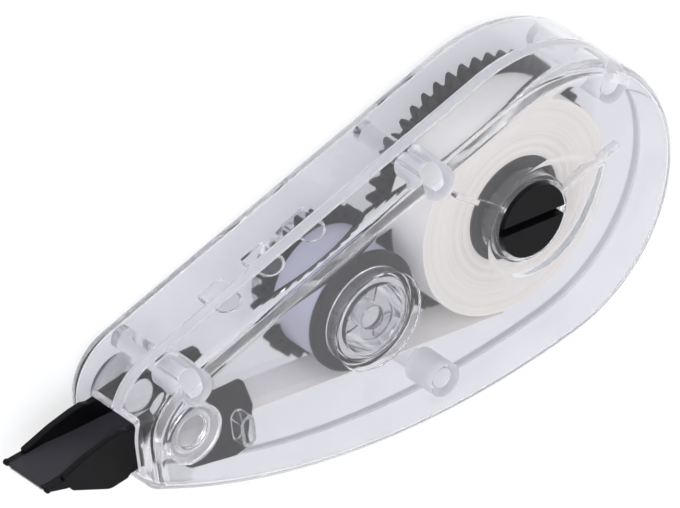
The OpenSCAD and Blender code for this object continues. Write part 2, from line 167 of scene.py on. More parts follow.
def bump(tree: Tree, height: Node, strength: float, depth: float) -> Node:
    """Add a bump of a depth in millimetres."""
    return add_node(tree, "ShaderNodeBump", {"Height": height, "Strength": strength, "Distance": depth * MM})


def blank_material(name: str) -> tuple[Material, Tree]:
    """Make a material with an empty node tree.

    Args:
        name: Name of the material.

    Returns:
        The material and its tree.
    """
    material = bpy.data.materials.new(name)
    material.use_nodes = True
    material.node_tree.nodes.clear()
    return material, material.node_tree


def surface(tree: Tree, shader: Node) -> None:
    """End a material in a shader."""
    add_node(tree, "ShaderNodeOutputMaterial", {"Surface": shader})


def face_out(mesh: bpy.types.Mesh) -> None:
    """Turn all faces of a mesh outward.

    Args:
        mesh: Mesh that is changed.
    """
    shape = bmesh.new()
    shape.from_mesh(mesh)
    bmesh.ops.recalc_face_normals(shape, faces=shape.faces)
    shape.to_mesh(mesh)
    shape.free()


def solid(name: str, verts: Sequence[Triple], faces: list[list[int]], edges: Sequence[Pair] = ()) -> Piece:
    """Make a mesh object with its faces outward.

    Args:
        name: Name of the object.
        verts: Corners in millimetres.
        faces: Corner numbers of each face; none for loose points or a line.
        edges: Corner numbers of each edge of a line.

    Returns:
        The object, linked to the scene.
    """
    mesh = bpy.data.meshes.new(name)
    mesh.from_pydata([(x * MM, y * MM, z * MM) for x, y, z in verts], edges, faces)
    face_out(mesh)
    obj = bpy.data.objects.new(name, mesh)
    bpy.context.scene.collection.objects.link(obj)
    return obj


def polar(radius: float, angle: float, height: float, centre: Point = ORIGIN) -> Triple:
    """Give the point at a radius, an angle in radians and a height about a centre."""
    return centre[0] + radius * math.cos(angle), centre[1] + radius * math.sin(angle), height


def arc(centre: Point, radius: float, start: float, end: float, steps: int) -> list[Point]:
    """Draw an arc of so many chords between two angles in degrees."""
    angles = [math.radians(start + (end - start) * i / steps) for i in range(steps + 1)]
    return [polar(radius, angle, 0.0, centre)[:2] for angle in angles]


def oval(half_width: float) -> list[Point]:
    """Draw the upright oval of the head's second hold."""
    upper, lower = ((OVAL[0], OVAL[1] + rise) for rise in (OVAL_HALF, -OVAL_HALF))
    return arc(upper, half_width, 0, 180, 16) + arc(lower, half_width, 180, 360, 16)


def rounded(corners: Profile, steps: int = 4) -> list[Point]:
    """Round the corners of a closed outline.

    Args:
        corners: The two coordinates of each corner and its radius, 0 for a sharp one.
        steps: Chords of each rounded corner.

    Returns:
        The outline's points.
    """
    points: list[Point] = []
    for i, (x, y, radius) in enumerate(corners):
        if radius <= 0:
            points.append((x, y))
            continue
        corner = Vector((x, y))
        back = Vector(corners[i - 1][:2]) - corner
        ahead = Vector(corners[(i + 1) % len(corners)][:2]) - corner
        half = back.angle(ahead) / 2
        reach = min(radius / math.tan(half), CORNER_SHARE * min(back.length, ahead.length))
        fit = reach * math.tan(half)
        middle = corner + (back.normalized() + ahead.normalized()).normalized() * (fit / math.sin(half))
        first = corner + back.normalized() * reach - middle
        last = corner + ahead.normalized() * reach - middle
        start = math.degrees(math.atan2(first.y, first.x))
        turn = math.degrees(math.atan2(first.x * last.y - first.y * last.x, first.dot(last)))
        points += arc((middle.x, middle.y), fit, start, start + turn, steps)
    return points


def rooted(profile: Profile, root: float) -> list[Point]:
    """Round a profile of radii and heights, and close it at the height of its root."""
    return rounded([*profile, (profile[-1][0], root, 0.0), (profile[0][0], root, 0.0)])


def lathe(name: str, profile: list[Point], centre: Point = ORIGIN, steps: int = 96) -> Piece:
    """Turn a profile about a vertical axis.

    Args:
        name: Name of the object.
        profile: Radius and height of each point; two ends at radius 0 close the solid on its axis.
        centre: Place of the axis.
        steps: Segments of the turn.

    Returns:
        The turned solid.
    """
    verts: list[Triple] = []
    rings: list[list[int]] = []
    for radius, height in profile:
        count = steps if radius > 0 else 1
        rings.append(list(range(len(verts), len(verts) + count)))
        verts += [polar(radius, 2 * math.pi * k / steps, height, centre) for k in range(count)]
    faces: list[list[int]] = []
    for ring, other in zip(rings, rings[1:] + rings[:1]):
        if len(ring) == 1 and len(other) == 1:
            continue
        for k in range(steps):
            near, far = ([r[j % len(r)] for j in (k, k + 1)] for r in (ring, other))
            faces.append(list(dict.fromkeys(near + far[::-1])))
    return solid(name, verts, faces)


def loft(name: str, rings: list[list[Triple]]) -> Piece:
    """Join rings of equal count and close both ends.

    Args:
        name: Name of the object.
        rings: Corners of each ring in millimetres.

    Returns:
        The lofted solid.
    """
    count = len(rings[0])
    verts = [v for ring in rings for v in ring]
    faces = [list(range(count)), list(range(len(verts) - count, len(verts)))]
    for first in range(0, len(verts) - count, count):
        for k in range(count):
            after = (k + 1) % count
            faces.append([first + k, first + after, first + count + after, first + count + k])
    return solid(name, verts, faces)


def prism(name: str, outline: list[Point], low: float, high: float) -> Piece:
    """Raise a flat outline from one height to another."""
    return loft(name, [[(x, y, z) for x, y in outline] for z in (low, high)])


def freeze(obj: Piece) -> Piece:
    """Turn an object's modifiers into plain mesh.

    Args:
        obj: Object with modifiers.

    Returns:
        The same object without them.
    """
    graph = bpy.context.evaluated_depsgraph_get()
    result = obj.evaluated_get(graph)
    mesh = bpy.data.meshes.new_from_object(result, preserve_all_data_layers=True, depsgraph=graph)
    obj.modifiers.clear()
    old = obj.data
    obj.data = mesh
    bpy.data.meshes.remove(old)
    return obj


def merge(parts: list[Piece]) -> Piece:
    """Put the meshes of several objects into the first one.

    Args:
        parts: Objects to put together.

    Returns:
        The first object.
    """
    shape = bmesh.new()
    for part in parts:
        shape.from_mesh(part.data)
    shape.to_mesh(parts[0].data)
    shape.free()
    for part in parts[1:]:
        bpy.data.objects.remove(part)
    return parts[0]


def combine(base: Piece, tool: Piece, cut: Cut) -> None:
    """Add a tool solid to a base solid, or take it away.

    Args:
        base: Solid that is changed.
        tool: Solid that is used up.
        cut: Way of joining.
    """
    step = base.modifiers.new("cut", "BOOLEAN")
    step.operation = cut.value
    step.solver = "MANIFOLD"
    step.object = tool
    freeze(base)
    bpy.data.objects.remove(tool)
    if not base.data.polygons:
        raise RuntimeError(f"{base.name} is empty after a cut")


def soften(obj: Piece, width: float, segments: int) -> None:
    """Round the sharp edges of a solid.

    Args:
        obj: Solid that is changed.
        width: Width of the rounding in millimetres.
        segments: Faces across the rounding.
    """
    step = obj.modifiers.new("edges", "BEVEL")
    step.width = width * MM
    step.segments = segments
    step.limit_method = "ANGLE"
    step.angle_limit = math.radians(SOFTEN_FROM)
    freeze(obj)


def shade(obj: Piece, angle: float = SHARP_FROM) -> None:
    """Shade a mesh smooth, with sharp edges kept and flat faces kept flat.

    Args:
        obj: Object to shade.
        angle: Edges that turn by more degrees stay sharp; by a quarter of that round a face of many corners.
    """
    shape = bmesh.new()
    shape.from_mesh(obj.data)
    flat = math.radians(FLAT_WITHIN)
    bmesh.ops.dissolve_limit(shape, angle_limit=flat, verts=shape.verts, edges=shape.edges)
    for face in shape.faces:
        face.smooth = True
    for edge in shape.edges:
        limit = angle / 4 if any(len(face.verts) > 4 for face in edge.link_faces) else angle
        edge.smooth = len(edge.link_faces) == 2 and edge.calc_face_angle(0.0) < math.radians(limit)
    shape.to_mesh(obj.data)
    shape.free()
    step = obj.modifiers.new("normals", "WEIGHTED_NORMAL")
    step.keep_sharp = True
    freeze(obj)


def node_group(name: str, **sockets: str) -> tuple[Tree, Sockets]:
    """Start a Geometry Nodes tree with named inputs.

    Args:
        name: Name of the tree.
        sockets: Name and kind of each input between the geometry and the material.

    Returns:
        The tree and its inputs.
    """
    tree = bpy.data.node_groups.new(name, "GeometryNodeTree")
    tree.interface.new_socket("Geometry", in_out="OUTPUT", socket_type="NodeSocketGeometry")
    for socket, kind in {"Geometry": "Geometry", **sockets, "Material": "Material"}.items():
        tree.interface.new_socket(socket, in_out="INPUT", socket_type=f"NodeSocket{kind}")
    return tree, add_node(tree, "NodeGroupInput").outputs


def close_group(tree: Tree, given: Sockets, shape: Node) -> Tree:
    """End a Geometry Nodes tree in real geometry with its material.

    Args:
        tree: Tree to end.
        given: Inputs of the tree.
        shape: Node that gives the geometry.

    Returns:
        The tree.
    """
    real = add_node(tree, "GeometryNodeRealizeInstances", {"Geometry": shape})
    welded = add_node(tree, "GeometryNodeMergeByDistance", {"Geometry": real, "Distance": WELD})
    painted = add_node(tree, "GeometryNodeSetMaterial", {"Geometry": welded, "Material": given["Material"]})
    add_node(tree, "NodeGroupOutput", {"Geometry": painted})
    return tree


def grow(obj: Piece, tree: Tree, values: dict[str, object]) -> Piece:
    """Run a Geometry Nodes tree on an object and keep the plain mesh.

    Args:
        obj: Object that the tree starts from.
        tree: Tree to run.
        values: Value of each named input.

    Returns:
        The object with its new mesh.
    """
    step = obj.modifiers.new(tree.name, "NODES")
    step.node_group = tree
    for item in tree.interface.items_tree:
        if item.in_out == "INPUT" and item.name in values:
            step[item.identifier] = values[item.name]
    return freeze(obj)


def ring_tree() -> Tree:
    """Build the tree that copies a shape round the Z axis and moves the ring to its place.

    Returns:
        The tree.
    """
    tree, given = node_group("ring_of_copies", Count="Int", Start="Float", Centre="Vector")
    points = add_node(tree, "GeometryNodePoints", {"Count": given["Count"]})
    index = add_node(tree, "GeometryNodeInputIndex")
    pitch = maths(tree, "DIVIDE", 2 * math.pi, given["Count"])
    angle = maths(tree, "MULTIPLY_ADD", index, pitch, given["Start"])
    turn = add_node(tree, "ShaderNodeCombineXYZ", {"Z": angle})
    copies = add_node(tree, "GeometryNodeInstanceOnPoints", {
        "Points": points, "Instance": given["Geometry"], "Rotation": turn})
    moved = add_node(tree, "GeometryNodeTransform", {"Geometry": copies, "Translation": given["Centre"]})
    return close_group(tree, given, moved)


def places_tree() -> Tree:
    """Build the tree that stands a copy of a pattern object on each point of a mesh.

    Returns:
        The tree.
    """
    tree, given = node_group("copies_at_places", Pattern="Object", Turn="Float")
    pattern = add_node(tree, "GeometryNodeObjectInfo", {"Object": given["Pattern"]}).outputs["Geometry"]
    turn = add_node(tree, "ShaderNodeCombineXYZ", {"Z": given["Turn"]})
    copies = add_node(tree, "GeometryNodeInstanceOnPoints", {
        "Points": given["Geometry"], "Instance": pattern, "Rotation": turn})
    return close_group(tree, given, copies)


def copies_at(name: str, spots: Sequence[Triple], pattern: Piece, turn: float = 0.0) -> Piece:
    """Stand copies of a pattern on points, and use the pattern up.

    Args:
        name: Name of the copies.
        spots: Place of each copy.
        pattern: Object to copy.
        turn: Angle of the copies about Z in radians.

    Returns:
        All copies as one mesh.
    """
    copies = grow(solid(name, spots, []), places_tree(), {"Pattern": pattern, "Turn": turn})
    bpy.data.objects.remove(pattern)
    return copies


def sweep(tree: Tree, given: Sockets, path: Node) -> Node:
    """Draw a standing strip of film along a curve.

    Args:
        tree: Tree that gets the strip.
        given: Inputs of the tree, with Film and Width.
        path: Node that gives the curve.

    Returns:
        Node that gives the strip.
    """
    upright = add_node(tree, "GeometryNodeSetCurveNormal", {"Curve": path}, mode="Z_UP")
    section = add_node(tree, "GeometryNodeCurvePrimitiveQuadrilateral", {
        "Width": given["Film"], "Height": given["Width"]})
    return add_node(tree, "GeometryNodeCurveToMesh", {
        "Curve": upright, "Profile Curve": section, "Fill Caps": True})


def film_tree() -> Tree:
    """Build the tree that draws a standing strip of film along a line of edges.

    Returns:
        The tree.
    """
    tree, given = node_group("film_along_path", Film="Float", Width="Float")
    path = add_node(tree, "GeometryNodeMeshToCurve", {"Mesh": given["Geometry"]})
    return close_group(tree, given, sweep(tree, given, path))


def winding_tree() -> Tree:
    """Build the tree that winds film into a spiral whose edges wander a little from turn to turn.

    Returns:
        The tree.
    """
    sizes = ("Turns", "Inner", "Outer", "Film", "Width", "Middle", "Wander", "Start", "Seed")
    tree, given = node_group("film_winding", **dict.fromkeys(sizes, "Float"), Centre="Vector")
    spiral = add_node(tree, "GeometryNodeCurveSpiral", {
        "Resolution": TURN_POINTS, "Rotations": given["Turns"], "Start Radius": given["Inner"],
        "End Radius": given["Outer"], "Height": 0.0})
    along = add_node(tree, "GeometryNodeSplineParameter").outputs["Factor"]
    phase = maths(tree, "MULTIPLY_ADD", along, given["Turns"], given["Seed"])
    drift = add_node(
        tree, "ShaderNodeTexNoise", {"W": phase, "Scale": DRIFT_PACE, "Detail": 2.0}, noise_dimensions="1D")
    centred = maths(tree, "SUBTRACT", drift, 0.5)
    height = maths(tree, "MULTIPLY_ADD", centred, given["Wander"], given["Middle"])
    lift = add_node(tree, "ShaderNodeCombineXYZ", {"Z": height})
    raised = add_node(tree, "GeometryNodeSetPosition", {"Geometry": spiral, "Offset": lift})
    turn = add_node(tree, "ShaderNodeCombineXYZ", {"Z": given["Start"]})
    moved = add_node(tree, "GeometryNodeTransform", {
        "Geometry": sweep(tree, given, raised), "Translation": given["Centre"], "Rotation": turn})
    return close_group(tree, given, moved)


@dataclass(frozen=True)
class ClearPolystyrene:
    """Clear polystyrene, injection moulded in a polished tool."""

    name: str = "polystyrene_clear_moulded"
    clear: str = "F2F2F5"
    cast: str = "EAEAEE"
    passed: str = "F1F1F2"
    veil: float = 0.985
    ior: float = 1.57
    mirror: str = "A9A9A9"
    gloss: Point = (0.03, 0.09)
    flow_mm: float = 7.0
    flow_bump: Point = (0.02, 0.3)

    def make(self) -> Material:
        """Build the material.

        Returns:
            Clear plastic that lamp rays pass, so that the works inside are lit.
        """
        # Glassy walls with a faint lavender veil, slow flow waves in the faces and bright moulded edges.
        # Straight-on mirror images are held back, so that the dark works stay dark behind the walls.
        material, tree = blank_material(self.name)
        flow = noise(tree, self.flow_mm, 2.0)
        plastic = add_node(tree, "ShaderNodeBsdfPrincipled", {
            "Base Color": blend(tree, flow, linear(self.clear), linear(self.cast)),
            "Roughness": spread(tree, flow, UNIT, self.gloss), "Normal": bump(tree, flow, *self.flow_bump),
            "IOR": self.ior, "Transmission Weight": self.veil, "Specular Tint": linear(self.mirror)})
        passed = add_node(tree, "ShaderNodeBsdfTransparent", {"Color": linear(self.passed)})
        ray = add_node(tree, "ShaderNodeLightPath").outputs["Is Shadow Ray"]
        surface(tree, add_node(tree, "ShaderNodeMixShader", {0: ray, 1: plastic, 2: passed}))
        return material


@dataclass(frozen=True)
class MouldedPlastic:
    """Opaque plastic from a spark-eroded tool, with a fine grain."""

    name: str
    deep: str
    pale: str
    gloss: Point
    ior: float = 1.5
    shine: float = 0.5
    grain_mm: float = 0.25
    grain_share: float = 0.6
    grain_bump: Point = (0.25, 0.03)
    cloud_mm: float = 4.0
    tone_ends: Point = (0.55, 1.05)

    def make(self) -> Material:
        """Build the material.

        Returns:
            Satin plastic with a grain, slight clouds of tone and uneven gloss.
        """
        # Satin skin: the eye sees a soft broad highlight, a fine grain and slow changes of tone.
        # The grain of such a tool is about 0.05 mm and is drawn at 0.25 mm so that it shows.
        material, tree = blank_material(self.name)
        grain = noise(tree, self.grain_mm, 3.0)
        cloud = noise(tree, self.cloud_mm, 2.0)
        mottle = maths(tree, "MULTIPLY_ADD", grain, self.grain_share, cloud)
        level = spread(tree, mottle, self.tone_ends, UNIT)
        surface(tree, add_node(tree, "ShaderNodeBsdfPrincipled", {
            "Base Color": blend(tree, level, linear(self.deep), linear(self.pale)),
            "Roughness": spread(tree, cloud, UNIT, self.gloss), "Normal": bump(tree, grain, *self.grain_bump),
            "IOR": self.ior, "Specular IOR Level": self.shine}))
        return material


@dataclass(frozen=True)
class TapeFilm:
    """Thin tape, seen on its face or on the edges of its turns."""

    name: str
    face: str
    edge: str
    # Colour of the painted shade between the wound turns, for the darker rings on the edges.
    shadow: str
    rough: float
    centre: Point = ORIGIN
    alpha: float = 1.0
    ior: float = 1.48
    ring_mm: float = 0.5
    ring_ends: Point = (0.3, 0.7)
    ring_bump: Point = (0.3, 0.05)

    def make(self) -> Material:
        """Build the material.

        Returns:
            Tape with its own face colour, and edges drawn in rings that run from the edge colour to a painted
            shade between the turns.
        """
        # Matt film: whiter on its face than on its cut edges, where wound turns show as fine rings darkened by
        # painted shade between them.
        # Real turns are 0.05 mm apart, and the rings are drawn about 0.5 mm apart so that they show.
        material, tree = blank_material(self.name)
        place = add_node(tree, "ShaderNodeTexCoord").outputs["Object"]
        away = (-self.centre[0] * MM, -self.centre[1] * MM, 0.0)
        shift = add_node(tree, "ShaderNodeMapping", {"Vector": place, "Location": away})
        split = add_node(tree, "ShaderNodeSeparateXYZ", {"Vector": shift}).outputs
        flat = add_node(tree, "ShaderNodeCombineXYZ", {"X": split["X"], "Y": split["Y"]})
        radius = add_node(tree, "ShaderNodeVectorMath", {0: flat}, operation="LENGTH").outputs["Value"]
        rings = add_node(tree, "ShaderNodeTexNoise", {
            "W": radius, "Scale": 1 / (self.ring_mm * MM), "Detail": 4.0}, noise_dimensions="1D")
        # Edge colour in rings of painted shade between the turns, spread along the radius by noise.
        cut = blend(tree, spread(tree, rings, self.ring_ends, UNIT), linear(self.shadow), linear(self.edge))
        normal = add_node(tree, "ShaderNodeNewGeometry").outputs["Normal"]
        lean = add_node(tree, "ShaderNodeSeparateXYZ", {"Vector": normal}).outputs["Z"]
        surface(tree, add_node(tree, "ShaderNodeBsdfPrincipled", {
            "Base Color": blend(tree, maths(tree, "ABSOLUTE", lean), linear(self.face), cut),
            "Roughness": self.rough, "Normal": bump(tree, rings, *self.ring_bump), "IOR": self.ior,
            "Alpha": self.alpha}))
        return material


def hand_over(obj: Piece, material: Material, body: Body, node: str) -> None:
    """Shade and dress a finished piece, and tie it to the frame.

    Args:
        obj: Finished piece.
        material: Its material.
        body: Body that it rides on.
        node: CAD node that it stands for.
    """
    shade(obj)
    obj.data.materials.clear()
    obj.data.materials.append(material)
    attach(obj, body.value)
    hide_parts(node)
    LOG.info("%s: %d faces, rides on %s", obj.name, len(obj.data.polygons), body.value)


@dataclass
class CaseShape:
    """Outline of the case: a round tail, a straight top wall, a rounded nose and a bowed belly."""

    tail: Point = (2.5, -1.0)
    tail_r: float = 17.203
    tilt: float = 10.35
    nose_x: float = -52.0
    nose_r: float = 6.5
    nose_low_r: float = 1.6
    least_r: float = 0.3
    foot_y: float = -3.95
    belly_turn: float = -85.7
    corner: Point = field(init=False)
    belly: Point = field(init=False)
    belly_r: float = field(init=False)

    def __post_init__(self) -> None:
        """Work out the nose corner and the belly arc from the driving sizes."""
        slope = math.radians(self.tilt)
        corner_x = self.nose_x + self.nose_r
        rise = self.tail_r - self.nose_r + (corner_x - self.tail[0]) * math.sin(slope)
        self.corner = (corner_x, self.tail[1] + rise / math.cos(slope))
        turn = math.radians(self.belly_turn)
        out = Vector((math.cos(turn), math.sin(turn)))
        foot = Vector((self.nose_x, self.foot_y)) - Vector(self.tail)
        along = foot.dot(out)
        squares = foot.length_squared - 2 * self.tail_r * along + self.tail_r ** 2
        self.belly_r = squares / (self.tail_r - along) / 2
        middle = Vector(self.tail) + out * (self.tail_r - self.belly_r)
        self.belly = (middle.x, middle.y)

    def outline(self, inset: float) -> list[Point]:
        """Draw the case's outline.

        Args:
            inset: Distance inside the outer wall.

        Returns:
            The closed outline, with the same number of points for every inset.
        """
        low_r = max(self.nose_low_r - inset, self.least_r)
        low_x = self.nose_x + inset + low_r
        depth = math.sqrt((self.belly_r - inset - low_r) ** 2 - (low_x - self.belly[0]) ** 2)
        low = (low_x, self.belly[1] - depth)
        low_turn = math.degrees(math.atan2(low[1] - self.belly[1], low[0] - self.belly[0]))
        points = arc(self.tail, self.tail_r - inset, self.belly_turn, 90 + self.tilt, 96)
        points += arc(self.corner, self.nose_r - inset, 90 + self.tilt, 180, 32)
        points += arc(low, low_r, 180, 360 + low_turn, 12)
        points += arc(self.belly, self.belly_r - inset, low_turn, self.belly_turn, 64)[1:-1]
        return points

    def top_wall(self, x: float, depth: float) -> Triple:
        """Find a point of the straight top wall.

        Args:
            x: Place along the case.
            depth: Distance inside the outer face.

        Returns:
            The point, at height 0.
        """
        slope = math.radians(self.tilt)
        start = Vector(self.tail) + Vector((-math.sin(slope), math.cos(slope))) * (self.tail_r - depth)
        return x, start.y + (x - start.x) * math.tan(slope), 0.0


@dataclass
class ClearCase:
    """The two clear covers of the case, with everything that is moulded to them.

    Turned fittings are held as the radius, height and rounding of each corner, without the root in the face,
    and zones of mating faces as the reach from a centre and the lowest and highest place.
    """

    shape: CaseShape
    finish: ClearPolystyrene
    mating_finish: ClearPolystyrene
    thick: float = 14.0
    face: float = 1.3
    wall: float = 1.1
    root: float = 0.3
    above: float = 15.0
    edge_r: float = 2.0
    inner_r: float = 0.25
    seam: float = 7.2
    tongue: float = 1.0
    tongue_edge: float = 0.1
    lip: float = 0.12
    lip_bow: float = 0.3
    play: float = 0.05
    mouth_x: Point = (-53.0, -49.0)
    mouth: Profile = ((-2.65, 3.85, 0.5), (3.55, 3.85, 0.5), (3.55, 11.15, 0.5), (-2.65, 11.15, 0.5))
    snap_deep: float = 2.3
    snap_nose: Triple = (-44.8, 5.31, 0.0)
    snap_top_x: float = -11.05
    snap_belly: Triple = (-13.55, -13.2, 0.0)
    snap_tail_turn: float = 47.5
    pin: Profile = ((1.19, 11.4, 0.4), (0.0, 11.4, 0.0))
    socket: Profile = ((0.0, 11.6, 0.0), (1.22, 11.6, 0.1), (1.22, 8.5, 0.1), (1.92, 8.5, 0.15))
    axle: Profile = ((4.0, 3.4, 0.15), (2.6, 3.4, 0.2), (2.6, 8.9, 0.3), (1.6, 8.9, 0.15))
    tube: Profile = ((6.2, 3.4, 0.15), (4.8, 3.4, 0.2), (4.8, 12.3, 0.25), (3.96, 12.3, 0.2))
    tube_post: Profile = ((1.4, 12.3, 0.3), (0.0, 12.3, 0.0))
    tube_ring: Profile = ((4.86, 11.1, 0.15), (5.46, 11.1, 0.15))
    tube_plug: Profile = ((0.0, 12.5, 0.0), (1.46, 12.5, 0.1), (1.46, 3.5, 0.15), (3.9, 3.5, 0.25))
    nose_peg: Profile = ((3.45, 3.95, 0.15), (1.95, 3.95, 0.1), (1.95, 4.8, 0.2), (0.0, 4.8, 0.0))
    nose_collar: Profile = (
        (0.0, 10.2, 0.0), (1.95, 10.2, 0.2), (1.95, 11.6, 0.1), (2.5, 11.05, 0.2), (2.9, 11.05, 0.2),
        (3.45, 11.6, 0.2))
    oval_peg: Point = (0.9, 4.8)
    oval_ring: Triple = (0.9, 0.5, 11.05)
    window_collar: Profile = ((4.3, 10.45, 0.0), (4.95, 10.45, 0.2))
    window: Profile = ((0.0, 9.0, 0.0), (4.45, 9.0, 0.0), (4.45, 13.35, 0.3), (4.8, 13.75, 0.0))
    dial: Profile = (
        (0.0, 12.95, 0.0), (1.15, 12.95, 0.1), (1.15, 13.25, 0.1), (2.3, 13.25, 0.1), (2.3, 13.4, 0.12),
        (4.1, 13.4, 0.12), (4.1, 13.7, 0.12), (5.7, 13.7, 0.12))
    eye_r: float = 6.6
    eye_reach: float = 10.6
    eye_turn: float = 10.5
    eye_fade: float = 33.0
    eye_deep: float = 0.4
    eye_bevel: float = 0.16
    rib: Profile = ((4.7, -0.3, 0.0), (12.75, -0.3, 0.25), (12.75, 0.3, 0.25), (4.7, 0.3, 0.0))
    rib_turns: Point = (10.5, 136.0)
    rib_deep: float = 0.8
    clip_places: Triple = (-14.6, -8.6, -2.9)
    clip_r: float = 1.5
    clip_draft: float = 0.3
    clip_root: Point = (0.9, 1.8)
    clip_tab: Triple = (1.22, 1.5, 1.78)
    clip_root_ends: Point = (-2.0, 0.5)
    clip_tab_end: float = -1.0
    seam_zone: Triple = (100.0, 7.15, 8.3)
    socket_zone: Triple = (1.95, 8.4, 14.0)
    collar_zone: Triple = (3.5, 11.0, 11.65)
    oval_zone: Triple = (2.1, 11.0, 11.1)

    def snap_places(self) -> list[Triple]:
        """List the places of the four snap pins."""
        tail = polar(
            self.shape.tail_r - self.snap_deep, math.radians(self.snap_tail_turn), 0.0, self.shape.tail)
        return [self.snap_nose, self.shape.top_wall(self.snap_top_x, self.snap_deep), self.snap_belly, tail]

    def lip_steps(self, side: int) -> list[Point]:
        """Draw the softened lip at the seam, on its low side for -1 and its high side for 1."""
        bow = self.lip_bow * self.lip
        return [(0.0, self.seam + side * self.lip), (bow, self.seam + side * bow), (self.lip, self.seam)]

    def shell(self, name: str, edge: list[Point], front: bool) -> Piece:
        """Loft a cover's shell from its outer face over its edge at the seam to its inner face.

        Args:
            name: Name of the cover.
            edge: Inset and height of each step at the seam.
            front: Whether the cover's face is on the high side.

        Returns:
            The shell.
        """
        outer = arc((self.edge_r, self.edge_r), self.edge_r, 180, 270, 10)[::-1]
        inner = arc((self.wall + self.inner_r, self.face + self.inner_r), self.inner_r, 180, 270, 10)
        if front:
            outer, inner = ([(inset, self.thick - z) for inset, z in bend] for bend in (outer, inner))
        steps = outer + edge + inner
        return loft(name, [[(x, y, z) for x, y in self.shape.outline(inset)] for inset, z in steps])

    def mouth_cut(self) -> Piece:
        """Make the cutter of the mouth that the tip comes through."""
        return loft("mouth", [[(x, y, z) for y, z in rounded(self.mouth)] for x in self.mouth_x])

    def turned(self, root: float, parts: list[tuple[str, Profile, Point]]) -> list[Piece]:
        """Turn fittings, each from its name, profile and centre, with their roots at one height."""
        return [lathe(name, rooted(profile, root), centre) for name, profile, centre in parts]

    def snaps(self, name: str, profile: Profile, root: float) -> Piece:
        """Stand a turned pin or socket on each snap place."""
        return copies_at(name, self.snap_places(), lathe("snap_pattern", rooted(profile, root), steps=48))

    def back(self) -> Piece:
        """Build the back cover with both axles, the snap pins, the head's pegs and the seam clips.

        Returns:
            The back cover.
        """
        top, soft = self.seam + self.tongue, self.tongue_edge
        inside = self.wall / 2 + self.play
        edge = self.lip_steps(-1) + [(inside, self.seam), (inside, top - soft), (inside + soft, top)]
        edge += [(self.wall - soft, top), (self.wall, top - soft)]
        cover = self.shell("back_cover_clear", edge, False)
        root = self.face - self.root
        feet = [self.snaps("snap_pins", self.pin, root)]
        feet += self.turned(root, [
            ("supply_axle", self.axle, ORIGIN), ("take_up_tube", self.tube, TAKE_UP),
            ("take_up_post", self.tube_post, TAKE_UP), ("nose_peg", self.nose_peg, HEAD_PEG)])
        feet.append(prism("oval_peg", oval(self.oval_peg[0]), root, self.oval_peg[1]))
        for tool in (merge(feet), *self.clips()):
            combine(cover, tool, Cut.ADD)
        combine(cover, self.mouth_cut(), Cut.TAKE)
        return cover

    def clips(self) -> list[Piece]:
        """Make the roots and the round-ended tabs of the seam clips.

        Returns:
            Two tools, each with a copy for every clip place.
        """
        seats = [self.shape.top_wall(TAKE_UP[0] + along, 0.0) for along in self.clip_places]
        slope = math.radians(self.shape.tilt)
        half, foot = self.clip_r, self.seam + self.clip_tab_end
        low, high = (self.seam + end for end in self.clip_root_ends)
        root = [(-half, low), (half, low), (half, high), (-half, high)]
        tab, slim = ([(-r, foot), (r, foot)] + arc((0.0, self.seam + self.tongue), r, 0, 180, 24)
                     for r in (half, half - self.clip_draft))
        tools = []
        for outlines, depths in (((root, root), self.clip_root), ((tab, tab, slim), self.clip_tab)):
            pattern = loft("clip_pattern", [[(x, -depth / math.cos(slope), z) for x, z in outline]
                                            for outline, depth in zip(outlines, depths)])
            tools.append(copies_at("seam_clips", seats, pattern, slope))
        return tools

    def front(self) -> Piece:
        """Build the front cover with its sockets, window, ribs and recesses.

        Returns:
            The front cover.
        """
        top, groove = self.seam + self.tongue + self.play, self.wall / 2
        edge = self.lip_steps(1) + [(groove, self.seam), (groove, top), (self.wall, top)]
        cover = self.shell("front_cover_clear", edge, True)
        root = self.thick - self.face + self.root
        fittings = [self.snaps("snap_sockets", self.socket, root)]
        fittings += self.turned(root, [
            ("window_collar", self.window_collar, ORIGIN), ("tube_ring", self.tube_ring, TAKE_UP),
            ("tube_plug", self.tube_plug, TAKE_UP), ("nose_collar", self.nose_collar, HEAD_PEG)])
        half, bore, low = self.oval_ring
        ring = prism("oval_ring", oval(half), low, root)
        combine(ring, prism("oval_hollow", oval(bore), low - 1, self.thick - self.face), Cut.TAKE)
        for tool in (merge(fittings + [ring]), self.ribs(root)):
            combine(cover, tool, Cut.ADD)
        window, dial = self.turned(
            self.above, [("window", self.window, ORIGIN), ("dial", self.dial, TAKE_UP)])
        for tool in (window, self.eye(), dial, self.mouth_cut()):
            combine(cover, tool, Cut.TAKE)
        return cover

    def ribs(self, high: float) -> Piece:
        """Make the ribs that run outwards from the window's collar.

        Args:
            high: Height that the ribs reach inside the face.

        Returns:
            The ribs as one mesh.
        """
        low = self.thick - self.face - self.rib_deep
        ribs = [prism("window_ribs", rounded(self.rib), low, high) for _ in self.rib_turns]
        for rib, turn in zip(ribs, self.rib_turns):
            rib.data.transform(Matrix.Rotation(math.radians(turn), 4, "Z"))
        return merge(ribs)

    def eye(self) -> Piece:
        """Make the cutter of the eye-shaped scoop round the window.

        Returns:
            A solid whose lower side falls from the eye's outline towards the window.
        """
        rings: list[list[Triple]] = []
        for scale in [1.0 - self.eye_bevel * k / 8 for k in range(9)] + [0.75, 0.5, 0.3]:
            fall = min(1.0, (1.0 - scale) / self.eye_bevel)
            height = self.thick - self.eye_deep * (0.5 - 0.5 * math.cos(math.pi * fall))
            ring = []
            for angle in range(0, 360, 2):
                away = min(angle, 360 - angle)
                reach = self.eye_r + (self.eye_reach - self.eye_r) * math.exp(-away / self.eye_fade)
                ring.append(polar(scale * reach, math.radians(angle + self.eye_turn), height))
            rings.append(ring)
        lid = [(x, y, self.above) for x, y, _ in rings[0]]
        return loft("eye", [lid] + rings)

